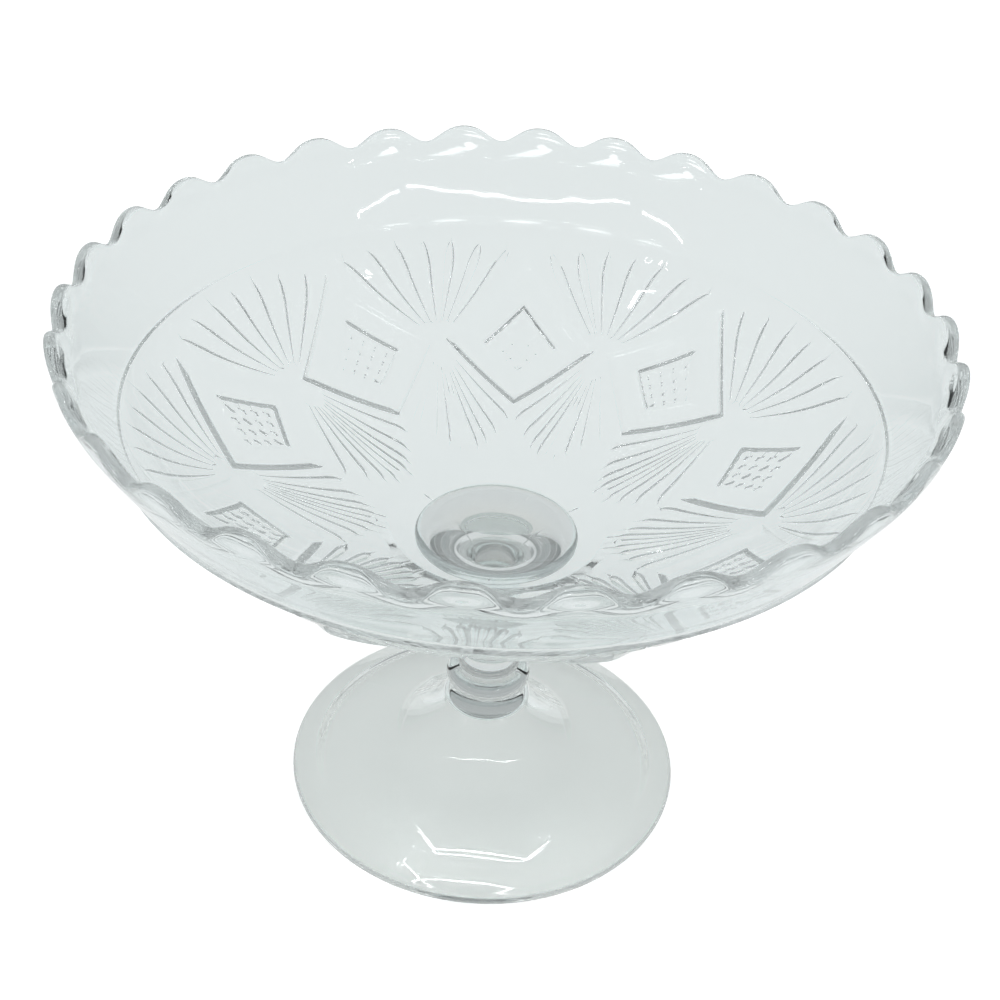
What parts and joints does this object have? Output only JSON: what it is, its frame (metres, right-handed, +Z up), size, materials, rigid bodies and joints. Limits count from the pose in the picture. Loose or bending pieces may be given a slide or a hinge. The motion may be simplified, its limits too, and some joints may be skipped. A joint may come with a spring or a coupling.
{
  "type": "footed compote bowl",
  "caption": "Shallow pressed-glass bowl with a scalloped rim and a diamond and fan relief, on a stem and a round foot, for fruit or sweets.",
  "frame": {"origin": "middle of the ring that the foot rests on, in the plane of the table", "axes": "+Z up along the axis of the bowl and the stem; -Y through a seam of the mould and a scallop's tip, at the front of the picture"},
  "size_m": [0.2398, 0.2406, 0.1677],
  "materials": {
    "clear_glass": "pressed and fire-polished soda glass, clear with a faint green-grey cast"
  },
  "bodies": {
    "root": {"bowl": "clear_glass", "stem": "clear_glass", "joining_wafer": "clear_glass", "foot": "clear_glass"}
  },
  "joints": []
}
